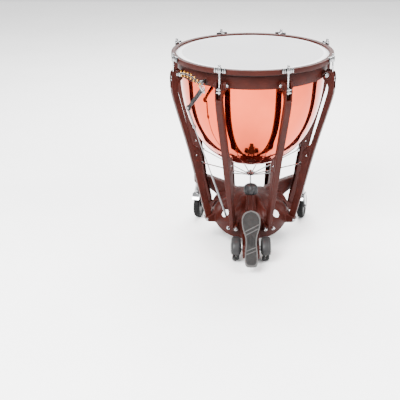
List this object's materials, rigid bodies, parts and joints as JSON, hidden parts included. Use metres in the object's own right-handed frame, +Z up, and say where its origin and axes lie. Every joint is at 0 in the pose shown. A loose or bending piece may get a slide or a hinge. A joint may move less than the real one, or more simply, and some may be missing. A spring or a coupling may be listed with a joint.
{
  "type": "pedal timpani",
  "caption": "Copper kettle timpani on a cast pedal base with tall curved struts, claw hoop, tension rods, tuning gauge, shoe-shaped pedal and wheels.",
  "frame": {"origin": "middle of the whole drum's footprint, on the floor", "axes": "+Z up; the player and the pedal are towards -Y; +X is the player's right"},
  "size_m": [0.734, 0.8301, 0.922],
  "materials": {
    "kettle_bowl": "polished copper",
    "support_ring": "satin red-brown powder coat",
    "drumhead": "smooth white film",
    "flesh_hoop": "bright rolled aluminium",
    "counterhoop": "satin red-brown powder coat on the casting",
    "tension_rod_1": "polished chrome",
    "strut_1": "satin red-brown powder coat on the casting",
    "rocker_lever_1": "bright steel",
    "spoke_1": "bright steel",
    "tension_rod_2": "polished chrome",
    "strut_2": "satin red-brown powder coat on the casting",
    "rocker_lever_2": "bright steel",
    "spoke_2": "bright steel",
    "tension_rod_3": "polished chrome",
    "strut_3": "satin red-brown powder coat on the casting",
    "rocker_lever_3": "bright steel",
    "spoke_3": "bright steel",
    "tension_rod_4": "polished chrome",
    "strut_4": "satin red-brown powder coat on the casting",
    "rocker_lever_4": "bright steel",
    "spoke_4": "bright steel",
    "tension_rod_5": "polished chrome",
    "strut_5": "satin red-brown powder coat on the casting",
    "rocker_lever_5": "bright steel",
    "spoke_5": "bright steel",
    "tension_rod_6": "polished chrome",
    "strut_6": "satin red-brown powder coat on the casting",
    "rocker_lever_6": "bright steel",
    "spoke_6": "bright steel",
    "tension_rod_7": "polished chrome",
    "strut_7": "satin red-brown powder coat on the casting",
    "rocker_lever_7": "bright steel",
    "spoke_7": "bright steel",
    "tension_rod_8": "polished chrome",
    "strut_8": "satin red-brown powder coat on the casting",
    "rocker_lever_8": "bright steel",
    "spoke_8": "bright steel",
    "spider_hub": "polished chrome",
    "pull_rod": "bright steel",
    "base_casting": "satin red-brown powder coat on the casting",
    "spring_housing": "satin red-brown powder coat on the casting",
    "balance_spring": "bright steel",
    "spring_knob": "satin grey moulding",
    "pedal_plate": "dark grey moulded rubber",
    "pedal_lever": "satin red-brown powder coat on the casting",
    "draw_bar": "bright steel",
    "bell_crank": "bright steel",
    "omniwheel_left": "dark grey moulded rubber",
    "wheel_hood_left": "satin grey moulding",
    "caster_fork_left": "polished chrome",
    "caster_wheel_left": "black solid tyre",
    "caster_brake_left": "polished chrome",
    "omniwheel_right": "dark grey moulded rubber",
    "wheel_hood_right": "satin grey moulding",
    "caster_fork_right": "polished chrome",
    "caster_wheel_right": "black solid tyre",
    "caster_brake_right": "polished chrome",
    "gauge_scale": "polished chrome",
    "gauge_pointer": "satin grey moulding",
    "gauge_link": "polished chrome"
  },
  "bodies": {
    "frame": {"kettle_bowl": "kettle_bowl", "support_ring": "support_ring", "drumhead": "drumhead", "strut_1": "strut_1", "strut_2": "strut_2", "strut_3": "strut_3", "strut_4": "strut_4", "strut_5": "strut_5", "strut_6": "strut_6", "strut_7": "strut_7", "strut_8": "strut_8", "base_casting": "base_casting", "spring_housing": "spring_housing", "balance_spring": "balance_spring", "wheel_hood_left": "wheel_hood_left", "wheel_hood_right": "wheel_hood_right", "gauge_scale": "gauge_scale"},
    "pedal": {"pedal_plate": "pedal_plate", "pedal_lever": "pedal_lever"},
    "draw_bar": {"draw_bar": "draw_bar"},
    "bell_crank": {"bell_crank": "bell_crank"},
    "spider": {"spider_hub": "spider_hub", "pull_rod": "pull_rod"},
    "hoop": {"counterhoop": "counterhoop", "flesh_hoop": "flesh_hoop"},
    "spring_knob": {"spring_knob": "spring_knob"},
    "gauge_pointer": {"gauge_pointer": "gauge_pointer"},
    "gauge_link": {"gauge_link": "gauge_link"},
    "rocker_1": {"rocker_lever_1": "rocker_lever_1"},
    "spoke_1": {"spoke_1": "spoke_1"},
    "rod_1": {"tension_rod_1": "tension_rod_1"},
    "rocker_2": {"rocker_lever_2": "rocker_lever_2"},
    "spoke_2": {"spoke_2": "spoke_2"},
    "rod_2": {"tension_rod_2": "tension_rod_2"},
    "rocker_3": {"rocker_lever_3": "rocker_lever_3"},
    "spoke_3": {"spoke_3": "spoke_3"},
    "rod_3": {"tension_rod_3": "tension_rod_3"},
    "rocker_4": {"rocker_lever_4": "rocker_lever_4"},
    "spoke_4": {"spoke_4": "spoke_4"},
    "rod_4": {"tension_rod_4": "tension_rod_4"},
    "rocker_5": {"rocker_lever_5": "rocker_lever_5"},
    "spoke_5": {"spoke_5": "spoke_5"},
    "rod_5": {"tension_rod_5": "tension_rod_5"},
    "rocker_6": {"rocker_lever_6": "rocker_lever_6"},
    "spoke_6": {"spoke_6": "spoke_6"},
    "rod_6": {"tension_rod_6": "tension_rod_6"},
    "rocker_7": {"rocker_lever_7": "rocker_lever_7"},
    "spoke_7": {"spoke_7": "spoke_7"},
    "rod_7": {"tension_rod_7": "tension_rod_7"},
    "rocker_8": {"rocker_lever_8": "rocker_lever_8"},
    "spoke_8": {"spoke_8": "spoke_8"},
    "rod_8": {"tension_rod_8": "tension_rod_8"},
    "omniwheel_left": {"omniwheel_left": "omniwheel_left"},
    "caster_left": {"caster_fork_left": "caster_fork_left"},
    "caster_wheel_left": {"caster_wheel_left": "caster_wheel_left"},
    "caster_brake_left": {"caster_brake_left": "caster_brake_left"},
    "omniwheel_right": {"omniwheel_right": "omniwheel_right"},
    "caster_right": {"caster_fork_right": "caster_fork_right"},
    "caster_wheel_right": {"caster_wheel_right": "caster_wheel_right"},
    "caster_brake_right": {"caster_brake_right": "caster_brake_right"}
  },
  "joints": [
    {"name": "pedal_tilt", "type": "hinge", "parent": "frame", "child": "pedal", "pos_m": [0, -0.30393, 0.088], "axis": [-1, 0, 0], "range_deg": [0, 22]},
    {"name": "draw_bar_pivot", "type": "hinge", "parent": "pedal", "child": "draw_bar", "pos_m": [0, -0.30393, 0.04], "axis": [-1, 0, 0], "range_deg": [-22.5, 0]},
    {"name": "bell_crank_pivot", "type": "hinge", "parent": "frame", "child": "bell_crank", "pos_m": [0, -0.00193, 0.088], "axis": [-1, 0, 0], "range_deg": [0, 22.5]},
    {"name": "spider_stroke", "type": "slide", "parent": "frame", "child": "spider", "axis": [0, 0, -1], "range_m": [0, 0.0188]},
    {"name": "hoop_stroke", "type": "slide", "parent": "frame", "child": "hoop", "axis": [0, 0, -1], "range_m": [0, 0.0052]},
    {"name": "rocker_1_pivot", "type": "hinge", "parent": "frame", "child": "rocker_1", "pos_m": [-0.10562, 0.30306, 0.441], "axis": [-0.9239, -0.3827, 0], "range_deg": [0, 20.2]},
    {"name": "spoke_1_pivot", "type": "hinge", "parent": "spider", "child": "spoke_1", "pos_m": [-0.00918, 0.07024, 0.312], "axis": [-0.9239, -0.3827, 0], "range_deg": [-7.2, 0]},
    {"name": "rod_1_turn", "type": "hinge", "parent": "hoop", "child": "rod_1", "pos_m": [-0.14427, 0.39637, 0.8], "axis": [0, 0, 1], "range_deg": [-180, 180]},
    {"name": "rocker_2_pivot", "type": "hinge", "parent": "frame", "child": "rocker_2", "pos_m": [-0.25499, 0.15369, 0.441], "axis": [-0.3827, -0.9239, 0], "range_deg": [0, 20.2]},
    {"name": "spoke_2_pivot", "type": "hinge", "parent": "spider", "child": "spoke_2", "pos_m": [-0.02217, 0.05725, 0.312], "axis": [-0.3827, -0.9239, 0], "range_deg": [-7.2, 0]},
    {"name": "rod_2_turn", "type": "hinge", "parent": "hoop", "child": "rod_2", "pos_m": [-0.3483, 0.19234, 0.8], "axis": [0, 0, 1], "range_deg": [-180, 180]},
    {"name": "rocker_3_pivot", "type": "hinge", "parent": "frame", "child": "rocker_3", "pos_m": [-0.25499, -0.05755, 0.441], "axis": [0.3827, -0.9239, 0], "range_deg": [0, 20.2]},
    {"name": "spoke_3_pivot", "type": "hinge", "parent": "spider", "child": "spoke_3", "pos_m": [-0.02217, 0.03889, 0.312], "axis": [0.3827, -0.9239, 0], "range_deg": [-7.2, 0]},
    {"name": "rod_3_turn", "type": "hinge", "parent": "hoop", "child": "rod_3", "pos_m": [-0.3483, -0.0962, 0.8], "axis": [0, 0, 1], "range_deg": [-180, 180]},
    {"name": "rocker_4_pivot", "type": "hinge", "parent": "frame", "child": "rocker_4", "pos_m": [-0.10562, -0.20692, 0.441], "axis": [0.9239, -0.3827, 0], "range_deg": [0, 20.2]},
    {"name": "spoke_4_pivot", "type": "hinge", "parent": "spider", "child": "spoke_4", "pos_m": [-0.00918, 0.0259, 0.312], "axis": [0.9239, -0.3827, 0], "range_deg": [-7.2, 0]},
    {"name": "rod_4_turn", "type": "hinge", "parent": "hoop", "child": "rod_4", "pos_m": [-0.14427, -0.30023, 0.8], "axis": [0, 0, 1], "range_deg": [-180, 180]},
    {"name": "rocker_5_pivot", "type": "hinge", "parent": "frame", "child": "rocker_5", "pos_m": [0.10562, -0.20692, 0.441], "axis": [0.9239, 0.3827, 0], "range_deg": [0, 20.2]},
    {"name": "spoke_5_pivot", "type": "hinge", "parent": "spider", "child": "spoke_5", "pos_m": [0.00918, 0.0259, 0.312], "axis": [0.9239, 0.3827, 0], "range_deg": [-7.2, 0]},
    {"name": "rod_5_turn", "type": "hinge", "parent": "hoop", "child": "rod_5", "pos_m": [0.14427, -0.30023, 0.8], "axis": [0, 0, 1], "range_deg": [-180, 180]},
    {"name": "rocker_6_pivot", "type": "hinge", "parent": "frame", "child": "rocker_6", "pos_m": [0.25499, -0.05755, 0.441], "axis": [0.3827, 0.9239, 0], "range_deg": [0, 20.2]},
    {"name": "spoke_6_pivot", "type": "hinge", "parent": "spider", "child": "spoke_6", "pos_m": [0.02217, 0.03889, 0.312], "axis": [0.3827, 0.9239, 0], "range_deg": [-7.2, 0]},
    {"name": "rod_6_turn", "type": "hinge", "parent": "hoop", "child": "rod_6", "pos_m": [0.3483, -0.0962, 0.8], "axis": [0, 0, 1], "range_deg": [-180, 180]},
    {"name": "rocker_7_pivot", "type": "hinge", "parent": "frame", "child": "rocker_7", "pos_m": [0.25499, 0.15369, 0.441], "axis": [-0.3827, 0.9239, 0], "range_deg": [0, 20.2]},
    {"name": "spoke_7_pivot", "type": "hinge", "parent": "spider", "child": "spoke_7", "pos_m": [0.02217, 0.05725, 0.312], "axis": [-0.3827, 0.9239, 0], "range_deg": [-7.2, 0]},
    {"name": "rod_7_turn", "type": "hinge", "parent": "hoop", "child": "rod_7", "pos_m": [0.3483, 0.19234, 0.8], "axis": [0, 0, 1], "range_deg": [-180, 180]},
    {"name": "rocker_8_pivot", "type": "hinge", "parent": "frame", "child": "rocker_8", "pos_m": [0.10562, 0.30306, 0.441], "axis": [-0.9239, 0.3827, 0], "range_deg": [0, 20.2]},
    {"name": "spoke_8_pivot", "type": "hinge", "parent": "spider", "child": "spoke_8", "pos_m": [0.00918, 0.07024, 0.312], "axis": [-0.9239, 0.3827, 0], "range_deg": [-7.2, 0]},
    {"name": "rod_8_turn", "type": "hinge", "parent": "hoop", "child": "rod_8", "pos_m": [0.14427, 0.39637, 0.8], "axis": [0, 0, 1], "range_deg": [-180, 180]},
    {"name": "gauge_link_stroke", "type": "slide", "parent": "frame", "child": "gauge_link", "axis": [-0.2745, -0.2508, 0.9283], "range_m": [0, 0.0112]},
    {"name": "gauge_pointer_pivot", "type": "hinge", "parent": "frame", "child": "gauge_pointer", "pos_m": [-0.27645, -0.20085, 0.705], "axis": [-0.7431, -0.6691, 0], "range_deg": [0, 55.5]},
    {"name": "spring_knob_turn", "type": "hinge", "parent": "frame", "child": "spring_knob", "pos_m": [0, -0.07093, 0.25], "axis": [0, 0.2079, 0.9782], "continuous": true},
    {"name": "omniwheel_left_spin", "type": "hinge", "parent": "frame", "child": "omniwheel_left", "pos_m": [-0.068, -0.24793, 0.05], "axis": [1, 0, 0], "continuous": true},
    {"name": "caster_left_swivel", "type": "hinge", "parent": "frame", "child": "caster_left", "pos_m": [-0.25703, 0.2331, 0.19], "axis": [0, 0, 1], "continuous": true},
    {"name": "caster_wheel_left_spin", "type": "hinge", "parent": "caster_left", "child": "caster_wheel_left", "pos_m": [-0.25025, 0.26027, 0.0635], "axis": [0.9703, -0.2419, 0], "continuous": true},
    {"name": "caster_brake_left_tilt", "type": "hinge", "parent": "caster_left", "child": "caster_brake_left", "pos_m": [-0.26392, 0.20545, 0.14], "axis": [0.9703, -0.2419, 0], "range_deg": [0, 20]},
    {"name": "omniwheel_right_spin", "type": "hinge", "parent": "frame", "child": "omniwheel_right", "pos_m": [0.068, -0.24793, 0.05], "axis": [1, 0, 0], "continuous": true},
    {"name": "caster_right_swivel", "type": "hinge", "parent": "frame", "child": "caster_right", "pos_m": [0.25703, 0.2331, 0.19], "axis": [0, 0, 1], "continuous": true},
    {"name": "caster_wheel_right_spin", "type": "hinge", "parent": "caster_right", "child": "caster_wheel_right", "pos_m": [0.2638, 0.26027, 0.0635], "axis": [0.9703, -0.2419, 0], "continuous": true},
    {"name": "caster_brake_right_tilt", "type": "hinge", "parent": "caster_right", "child": "caster_brake_right", "pos_m": [0.25013, 0.20545, 0.14], "axis": [0.9703, -0.2419, 0], "range_deg": [0, 20]}
  ],
  "couplings": [
    {"joint": "draw_bar_pivot", "follows": "pedal_tilt", "ratio": -1},
    {"joint": "bell_crank_pivot", "follows": "pedal_tilt", "ratio": 1},
    {"joint": "spider_stroke", "follows": "pedal_tilt", "m_per_rad": 0.048701},
    {"joint": "hoop_stroke", "follows": "pedal_tilt", "m_per_rad": 0.013282},
    {"joint": "rocker_1_pivot", "follows": "pedal_tilt", "ratio": 0.90909},
    {"joint": "spoke_1_pivot", "follows": "pedal_tilt", "ratio": -0.3236},
    {"joint": "rocker_2_pivot", "follows": "pedal_tilt", "ratio": 0.90909},
    {"joint": "spoke_2_pivot", "follows": "pedal_tilt", "ratio": -0.3236},
    {"joint": "rocker_3_pivot", "follows": "pedal_tilt", "ratio": 0.90909},
    {"joint": "spoke_3_pivot", "follows": "pedal_tilt", "ratio": -0.3236},
    {"joint": "rocker_4_pivot", "follows": "pedal_tilt", "ratio": 0.90909},
    {"joint": "spoke_4_pivot", "follows": "pedal_tilt", "ratio": -0.3236},
    {"joint": "rocker_5_pivot", "follows": "pedal_tilt", "ratio": 0.90909},
    {"joint": "spoke_5_pivot", "follows": "pedal_tilt", "ratio": -0.3236},
    {"joint": "rocker_6_pivot", "follows": "pedal_tilt", "ratio": 0.90909},
    {"joint": "spoke_6_pivot", "follows": "pedal_tilt", "ratio": -0.3236},
    {"joint": "rocker_7_pivot", "follows": "pedal_tilt", "ratio": 0.90909},
    {"joint": "spoke_7_pivot", "follows": "pedal_tilt", "ratio": -0.3236},
    {"joint": "rocker_8_pivot", "follows": "pedal_tilt", "ratio": 0.90909},
    {"joint": "spoke_8_pivot", "follows": "pedal_tilt", "ratio": -0.3236},
    {"joint": "gauge_link_stroke", "follows": "pedal_tilt", "m_per_rad": 0.02865},
    {"joint": "gauge_pointer_pivot", "follows": "pedal_tilt", "ratio": 2.5}
  ]
}
